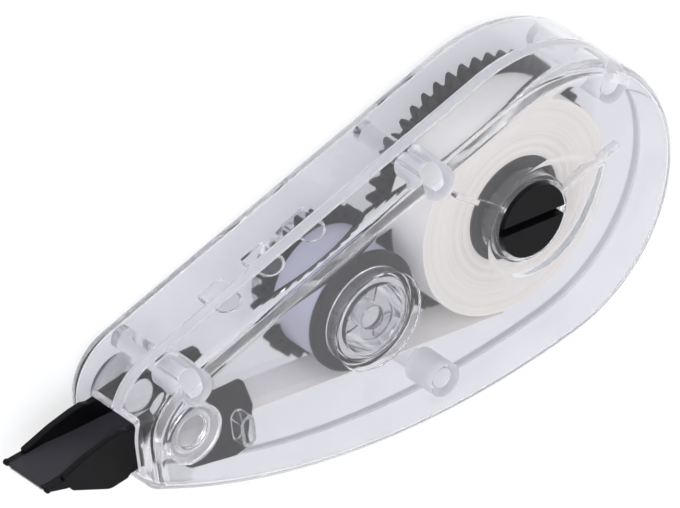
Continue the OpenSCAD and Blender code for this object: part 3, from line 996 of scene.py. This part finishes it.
    def mating_zones(self) -> list[tuple[Point, Triple]]:
        """List the centre and zone of the seam, the ends that press on the head and the snap sockets."""
        ends = [(HEAD_PEG, self.seam_zone), (HEAD_PEG, self.collar_zone), (OVAL, self.oval_zone)]
        return ends + [(place[:2], self.socket_zone) for place in self.snap_places()]

    def matt_faces(self, cover: Piece, matt: Material) -> None:
        """Give the faces that lie wholly in a mating zone their matt finish.

        Args:
            cover: Finished cover.
            matt: Material of the mating faces.
        """
        zones = self.mating_zones()
        cover.data.materials.append(matt)
        for face in cover.data.polygons:
            corners = [cover.data.vertices[k].co / MM for k in face.vertices]
            face.material_index = int(any(
                all(low < corner.z < high and math.dist(corner[:2], centre) < reach for corner in corners)
                for centre, (reach, low, high) in zones))

    def build(self) -> None:
        """Make both covers and hand them over."""
        clear = self.finish.make()
        matt = self.mating_finish.make()
        for cover, node in ((self.back(), "back_cover"), (self.front(), "front_cover")):
            hand_over(cover, clear, Body.HOUSING, node)
            self.matt_faces(cover, matt)


@dataclass
class ApplicatorHead:
    """Black tip: a thin blade on a ramp between two leaf-shaped side plates."""

    finish: MouldedPlastic
    low: float = 4.0
    high: float = 11.0
    inset: float = 0.02
    plate: float = 0.8
    plate_soft: float = 0.16
    blade_half: float = 0.2
    blade_soft: float = 0.08
    ear: Triple = (0.34, 0.6, 0.12)
    peg_r: float = 2.0
    oval_r: float = 0.95
    leaf: Profile = (
        (-61.3, 2.65, 0.3), (-57.5, 3.45, 4.0), (-54.6, 3.75, 1.0), (-53.2, 3.75, 0.5), (-52.4, 3.4, 0.3),
        (-46.5, 3.4, 0.6), (-45.5, 2.4, 0.6), (-37.75, 1.2, 0.6), (-36.95, -2.5, 1.0), (-38.05, -7.4, 0.6),
        (-39.95, -7.6, 0.8), (-45.85, -5.6, 2.0), (-48.5, -2.2, 1.0), (-52.9, -2.2, 0.3),
        (-53.3, -2.5, 0.3), (-55.6, -2.5, 2.0), (-60.3, 0.3, 0.9), (-60.9, 1.6, 0.3))

    def build(self) -> None:
        """Make the head and hand it over."""
        section = arc(BLADE, self.blade_half, 90, 270, 8) + RAMP_LOW + RAMP_TOP
        tip = prism("applicator_tip", section, self.low + self.inset, self.high - self.inset)
        soften(tip, self.blade_soft, 2)
        leaves, holes = [], []
        for low in (self.low, self.high - self.plate):
            leaves.append(prism("leaf", rounded(self.leaf, steps=8), low, low + self.plate))
            soften(leaves[-1], self.plate_soft, 3)
            hole = ((0.0, low - 1, 0.0), (self.peg_r, low - 1, 0.0))
            holes.append(lathe("peg_hole", rooted(hole, low + 2), HEAD_PEG))
        holes.append(prism("oval_hole", oval(self.oval_r), self.low - 1, self.low + 2))
        for leaf in leaves:
            combine(tip, leaf, Cut.ADD)
        for hole in holes:
            combine(tip, hole, Cut.TAKE)
        radius, tall, soft = self.ear
        for low in (self.low, self.high - tall):
            corners = [(0, low, 0), (radius, low, soft), (radius, low + tall, soft), (0, low + tall, 0)]
            ear = lathe("ear", rounded(corners), (BLADE[0] + self.inset, BLADE[1]), steps=32)
            combine(tip, ear, Cut.ADD)
        hand_over(tip, self.finish.make(), Body.HOUSING, "applicator_head")


@dataclass(frozen=True)
class GearWheel:
    """Spur gear with a hub, made of one tooth's sector copied round its axis."""

    name: str
    teeth: int
    splits: int
    hub: Sequence[Point]
    centre: Point = ORIGIN
    start: float = 0.0
    module: float = 0.55
    pressure: float = 20.0
    root_deep: float = 1.25
    rim: float = 0.5
    low: float = 3.5
    high: float = 4.7
    play: float = 0.02

    def half_angle(self, radius: float) -> float:
        """Find half the angle that a tooth takes.

        Args:
            radius: Radius on the involute flank.

        Returns:
            The angle in radians.
        """
        pressure = math.radians(self.pressure)
        base_r = self.module * self.teeth / 2 * math.cos(pressure)
        lean = math.acos(min(1.0, base_r / max(radius, base_r)))
        involute = (math.tan(pressure) - pressure) - (math.tan(lean) - lean)
        return math.pi / (2 * self.teeth) + involute - self.play / radius

    def tooth(self) -> list[Point]:
        """Draw one tooth.

        Returns:
            Radius and angle of each point, from one root to the other.
        """
        pitch_r = self.module * self.teeth / 2
        root = pitch_r - self.root_deep * self.module
        tip = pitch_r + self.module
        half_pitch = math.pi / self.teeth
        rise = [(r, -self.half_angle(r)) for r in (root + (tip - root) * k / 6 for k in range(7))]
        fall = [(r, -a) for r, a in reversed(rise)]
        return [(root, -half_pitch)] + rise + fall + [(root, half_pitch)]

    def make(self, material: Material) -> Piece:
        """Build the wheel.

        Args:
            material: Material of the wheel.

        Returns:
            The wheel at its place.
        """
        outline = self.tooth()
        inner = outline[0][0] - self.rim
        half = math.pi / self.teeth
        turns = [-half + 2 * half * k / self.splits for k in range(self.splits + 1)]
        section = [(inner, self.high), *self.hub, (inner, self.low)]
        verts = [polar(radius, turn, height) for radius, height in section for turn in turns]
        row, count, top = len(turns), len(outline), len(verts)
        last = top - row
        faces = [[first + k, first + k + 1, first + row + k + 1, first + row + k]
                 for first in range(0, last, row) for k in range(self.splits)]
        verts += [polar(radius, angle, height)
                  for height in (self.high, self.low) for radius, angle in outline]
        faces.append(list(range(top, top + count)) + list(range(row - 1, -1, -1)))
        faces.append(list(range(top + count, top + 2 * count)) + list(range(last + row - 1, last - 1, -1)))
        faces += [[k, k + 1, k + count + 1, k + count] for k in range(top, top + count - 1)]
        wheel = grow(solid(self.name, verts, faces), ring_tree(), {
            "Count": self.teeth, "Start": self.start, "Material": material,
            "Centre": (self.centre[0] * MM, self.centre[1] * MM, 0.0)})
        face_out(wheel.data)
        return wheel


@dataclass(frozen=True)
class Winding:
    """Film wound on a core, as a spiral whose edges wander a little."""

    name: str
    radii: Point
    turns: float
    fill: float
    start: float
    seed: float
    centre: Point = ORIGIN
    wander: float = 0.12

    def make(self, material: Material) -> Piece:
        """Wind the film.

        Args:
            material: Material of the film.

        Returns:
            The winding at its place.
        """
        inner, outer = self.radii
        film = (outer - inner) / self.turns
        return grow(solid(self.name, [(0.0, 0.0, 0.0)], []), winding_tree(), {
            "Turns": self.turns - 1, "Inner": (inner + film / 2) * MM, "Outer": (outer - film / 2) * MM,
            "Film": film * self.fill * MM, "Width": (TAPE_WIDTH - self.wander) * MM,
            "Middle": TAPE_MIDDLE * MM, "Wander": self.wander * MM, "Start": math.radians(self.start),
            "Seed": self.seed, "Material": material,
            "Centre": (self.centre[0] * MM, self.centre[1] * MM, 0.0)})


@dataclass
class SupplyReel:
    """Large gear with its slip clutch, and the reel with core, tape roll and knob."""

    dark: MouldedPlastic
    black: MouldedPlastic
    rubber: MouldedPlastic
    tape: TapeFilm
    gear: GearWheel = GearWheel("supply_gear_wheel", teeth=50, splits=2, hub=(
        (11.9, 4.7), (11.6, 4.45), (6.9, 4.45), (6.6, 4.7), (4.2, 4.7), (4.2, 6.59), (3.32, 6.59), (3.32, 7.51),
        (4.2, 7.51), (4.2, 9.0), (4.1, 9.1), (2.76, 9.1), (2.66, 9.0), (2.66, 3.6), (2.76, 3.5)))
    ring_middle: Point = (3.78, 7.05)
    ring_half: Point = (0.46, 0.45)
    ring_grip: float = 4.22
    core: Profile = (
        (4.26, 4.8, 0.15), (6.01, 4.8, 0.1), (6.01, 10.1, 0.15), (5.35, 10.1, 0.12), (5.2, 9.75, 0.1),
        (4.26, 9.75, 0.1))
    # A real roll has about 130 turns, drawn as 60 that are twice as thick.
    roll: Winding = Winding(
        "tape_roll_turns", radii=(6.01, 12.5), turns=60.0, fill=0.985, start=-100.0, seed=7.0)
    knob: Profile = (
        (0.0, 9.2, 0.0), (4.24, 9.2, 0.15), (4.24, 10.1, 0.0), (4.2, 10.1, 0.0), (4.2, 13.8, 0.0),
        (0.0, 13.8, 0.0))
    knob_soft: float = 0.14
    slot: Sequence[Point] = ((-6.0, -0.5), (6.0, -0.5), (6.0, 0.5), (-6.0, 0.5))
    slot_deep: float = 1.2
    slot_turn: float = -12.0

    def ring(self) -> Piece:
        """Build the clutch's rubber ring, a little flattened where the core grips it.

        Returns:
            The ring.
        """
        (reach, height), (wide, tall) = self.ring_middle, self.ring_half
        turns = [2 * math.pi * k / 20 for k in range(20)]
        section = [(reach + wide * math.cos(turn), height + tall * math.sin(turn)) for turn in turns]
        return lathe("clutch_rubber_ring", [(min(radius, self.ring_grip), z) for radius, z in section])

    def cap(self) -> Piece:
        """Build the slotted knob.

        Returns:
            The knob, with softened edges round its rim and slot.
        """
        knob = lathe("winding_knob_cap", rounded(self.knob), steps=128)
        high = self.knob[-1][1]
        turn = Matrix.Rotation(math.radians(self.slot_turn), 2)
        outline = [tuple(turn @ Vector(corner)) for corner in self.slot]
        combine(knob, prism("slot", outline, high - self.slot_deep, high + 1), Cut.TAKE)
        soften(knob, self.knob_soft, 3)
        return knob

    def build(self) -> None:
        """Make every piece of the reel and hand it over."""
        dark = self.dark.make()
        film = self.tape.make()
        hand_over(self.gear.make(dark), dark, Body.DRIVE, "supply_gear")
        hand_over(self.ring(), self.rubber.make(), Body.DRIVE, "clutch_ring")
        core = lathe("supply_core_spool", rounded(self.core), steps=128)
        hand_over(core, dark, Body.REEL, "supply_core")
        hand_over(self.roll.make(film), film, Body.REEL, "tape_roll")
        hand_over(self.cap(), self.black.make(), Body.REEL, "winding_knob")


@dataclass
class TakeUpReel:
    """Small gear with the drum that winds up the used carrier."""

    dark: MouldedPlastic
    tape: TapeFilm
    gear: GearWheel = GearWheel(
        "take_up_gear_wheel", teeth=28, splits=4, centre=TAKE_UP, start=math.pi / 28, hub=(
            (5.36, 4.7), (5.36, 10.7), (5.26, 10.8), (4.96, 10.8), (4.86, 10.7), (4.86, 3.6), (4.96, 3.5)))
    drum: Profile = (
        (5.38, 4.72, 0.1), (6.15, 4.72, 0.1), (6.15, 10.1, 0.1), (6.85, 10.1, 0.15), (6.85, 10.9, 0.25),
        (5.38, 10.9, 0.15))
    carrier: Winding = Winding(
        "used_tape_turns", radii=(6.15, 6.65), turns=5.0, fill=0.97, start=-95.0, seed=3.0, centre=TAKE_UP)

    def build(self) -> None:
        """Make every piece of the take-up and hand it over."""
        dark = self.dark.make()
        film = self.tape.make()
        hand_over(self.gear.make(dark), dark, Body.TAKE_UP, "take_up_gear")
        drum = lathe("take_up_drum_spool", rounded(self.drum), TAKE_UP, steps=128)
        hand_over(drum, dark, Body.TAKE_UP, "take_up_drum")
        hand_over(self.carrier.make(film), film, Body.TAKE_UP, "used_tape")


@dataclass
class TapeRun:
    """The two runs of tape between the reels and the blade."""

    coated: TapeFilm
    bare: TapeFilm
    film: float = 0.1
    turn_r: float = 0.33
    lift: float = 0.13
    roll_r: float = 12.63
    drum_r: float = 6.78

    def touch(self, start: Point, centre: Point, radius: float) -> Point:
        """Find where a line from a point meets a circle on its low side.

        Args:
            start: Point that the line comes from.
            centre: Centre of the circle.
            radius: Radius of the circle.

        Returns:
            The point of tangency.
        """
        gap = Vector(centre) - Vector(start)
        reach = math.sqrt(gap.length_squared - radius ** 2)
        turn = Matrix.Rotation(-math.asin(radius / gap.length), 2)
        point = Vector(start) + (turn @ gap.normalized()) * reach
        return point.x, point.y

    def strip(self, name: str, path: list[Point], material: Material) -> Piece:
        """Draw a strip of tape along a path.

        Args:
            name: Name of the strip.
            path: Points of the path in plan.
            material: Material of the strip.

        Returns:
            The strip as a plain mesh.
        """
        edges = [(k, k + 1) for k in range(len(path) - 1)]
        line = solid(name, [(x, y, TAPE_MIDDLE) for x, y in path], [], edges)
        sizes = {"Film": self.film * MM, "Width": TAPE_WIDTH * MM}
        return grow(line, film_tree(), sizes | {"Material": material})

    def build(self) -> None:
        """Make both strips and hand them over."""
        coated = self.coated.make()
        bare = self.bare.make()
        below = [(x, y - self.lift) for x, y in reversed(RAMP_LOW)]
        feed = [self.touch(below[0], ORIGIN, self.roll_r)] + below + arc(BLADE, self.turn_r, 270, 228, 4)
        strip = self.strip("tape_feed_strip", feed, coated)
        hand_over(strip, coated, Body.HOUSING, "tape_feed")
        above = [(x, y + self.lift) for x, y in reversed(RAMP_TOP)]
        back = arc(BLADE, self.turn_r, 222, 90, 12) + above + [self.touch(above[-1], TAKE_UP, self.drum_r)]
        strip = self.strip("tape_return_strip", back, bare)
        hand_over(strip, bare, Body.HOUSING, "tape_return")


@dataclass
class Studio:
    """Pale floor, soft light and a far camera at the photograph's viewing angle."""

    target: Triple = (-20.1, 4.4, 7.0)
    right: Triple = (0.7496, -0.0997, 0.6543)
    up: Triple = (0.4795, 0.7633, -0.4330)
    towards: Triple = (-0.4563, 0.6383, 0.6200)
    distance: float = 2000.0
    span: float = 69.74
    sensor: float = 36.0
    clip_m: Point = (0.1, 20.0)
    floor_half: float = 6000.0
    floor_z: float = -0.2
    mottle_mm: float = 50.0
    papers: tuple[str, str] = ("A9AAAC", "ACADAF")
    glow: float = 0.6
    zenith: float = 0.85
    zenith_rise: Point = (0.3, 0.65)
    # Name, place, side and power in watts of each lamp.
    lamps: tuple[tuple[str, Triple, float, float], ...] = (
        ("key_lamp", (-380.0, 330.0, 450.0), 350.0, 1.9), ("fill_lamp", (400.0, 100.0, 400.0), 400.0, 0.6))
    clear_bounces: int = 48
    other_bounces: int = 32

    def floor(self) -> None:
        """Lay the floor, which is white to the camera and keeps the object's shadow."""
        half = self.floor_half
        corners = [(x, y, self.floor_z) for x, y in (
            (-half, -half), (half, -half), (half, half), (-half, half))]
        floor = solid("studio_floor", corners, [[0, 1, 2, 3]])
        # Matt paper: a plain pale ground with only a trace of mottle.
        material, tree = blank_material("studio_paper_matt")
        tone = blend(tree, noise(tree, self.mottle_mm, 2.0), *(linear(code) for code in self.papers))
        paper = add_node(tree, "ShaderNodeBsdfDiffuse", {"Color": tone})
        glow = add_node(tree, "ShaderNodeEmission", {"Strength": self.glow})
        lit = add_node(tree, "ShaderNodeAddShader", {0: paper, 1: glow})
        # Rays that show the ground see it glow, and rays that only light the object don't.
        ray = add_node(tree, "ShaderNodeLightPath").outputs
        seen = maths(tree, "MAXIMUM", ray["Is Camera Ray"], ray["Is Glossy Ray"])
        seen = maths(tree, "MAXIMUM", seen, ray["Is Transmission Ray"])
        surface(tree, add_node(tree, "ShaderNodeMixShader", {0: seen, 1: paper, 2: lit}))
        floor.data.materials.append(material)

    def world(self) -> None:
        """Surround the object with a dome that is white at the horizon and a little dimmer above."""
        world = bpy.data.worlds.new("studio_white")
        world.use_nodes = True
        tree = world.node_tree
        tree.nodes.clear()
        way = add_node(tree, "ShaderNodeTexCoord").outputs["Generated"]
        height = add_node(tree, "ShaderNodeSeparateXYZ", {"Vector": way}).outputs["Z"]
        fall = spread(tree, height, self.zenith_rise, (1.0, self.zenith), interpolation_type="SMOOTHSTEP")
        dome = add_node(tree, "ShaderNodeBackground", {"Color": linear("FFFFFF"), "Strength": fall})
        add_node(tree, "ShaderNodeOutputWorld", {"Surface": dome})
        bpy.context.scene.world = world

    def light(self) -> None:
        """Hang the soft square lamps, which shine on the object."""
        for name, place, size, power in self.lamps:
            light = bpy.data.lights.new(name, "AREA")
            light.size = size * MM
            light.energy = power
            lamp = bpy.data.objects.new(name, light)
            lamp.location = Vector(place) * MM
            aim = Vector(self.target) * MM - lamp.location
            lamp.rotation_euler = aim.to_track_quat("-Z", "Y").to_euler()
            bpy.context.scene.collection.objects.link(lamp)

    def camera(self) -> None:
        """Set the camera far off with a long lens, as flat as the photograph."""
        data = bpy.data.cameras.new("photo_camera")
        data.sensor_width = self.sensor
        data.lens = self.sensor * self.distance / self.span
        data.clip_start, data.clip_end = self.clip_m
        camera = bpy.data.objects.new("photo_camera", data)
        pose = Matrix((self.right, self.up, self.towards)).transposed().to_4x4()
        pose.translation = (Vector(self.target) + Vector(self.towards) * self.distance) * MM
        camera.matrix_world = pose
        bpy.context.scene.collection.objects.link(camera)
        bpy.context.scene.camera = camera

    def build(self) -> None:
        """Set up the floor, the light, the camera and the light paths."""
        self.floor()
        self.world()
        self.light()
        self.camera()
        scene = bpy.context.scene
        scene.view_settings.view_transform = "Standard"
        # Clear walls pass light many times before it leaves them.
        scene.cycles.max_bounces = self.clear_bounces
        scene.cycles.transmission_bounces = self.clear_bounces
        scene.cycles.glossy_bounces = self.other_bounces
        scene.cycles.transparent_max_bounces = self.other_bounces


def main() -> None:
    """Build every sub-assembly, then the studio."""
    logging.basicConfig(level=logging.INFO, format="%(message)s")
    black = MouldedPlastic("abs_black_satin", "070709", "101013", (0.3, 0.42), shine=0.1)
    dark = MouldedPlastic("acetal_graphite_moulded", "121217", "222228", (0.4, 0.52), ior=1.48, shine=0.25)
    rubber = MouldedPlastic("nitrile_rubber_moulded", "101011", "1C1C1E", (0.75, 0.9), ior=1.52)
    # The third colour of each tape is the painted shade between its wound turns.
    cream = TapeFilm("correction_film_cream", "F6F4F1", "EEEAE4", "E3DED7", 0.6)
    carrier = ("B9B9CB", "B0B0C2", "9C9CB0", 0.35, TAKE_UP)
    wound = TapeFilm("release_carrier_wound", *carrier)
    single = TapeFilm("release_carrier_single", *carrier, alpha=0.035)
    # Mating faces come unpolished from the tool: the seam is a white band, and the sockets are pale spots.
    mating = ClearPolystyrene("polystyrene_matt_moulded", veil=0.6, gloss=(0.35, 0.5))
    ClearCase(CaseShape(), ClearPolystyrene(), mating).build()
    ApplicatorHead(black).build()
    SupplyReel(dark, black, rubber, cream).build()
    TakeUpReel(dark, wound).build()
    TapeRun(cream, single).build()
    Studio().build()


if __name__ == "__main__":
    main()
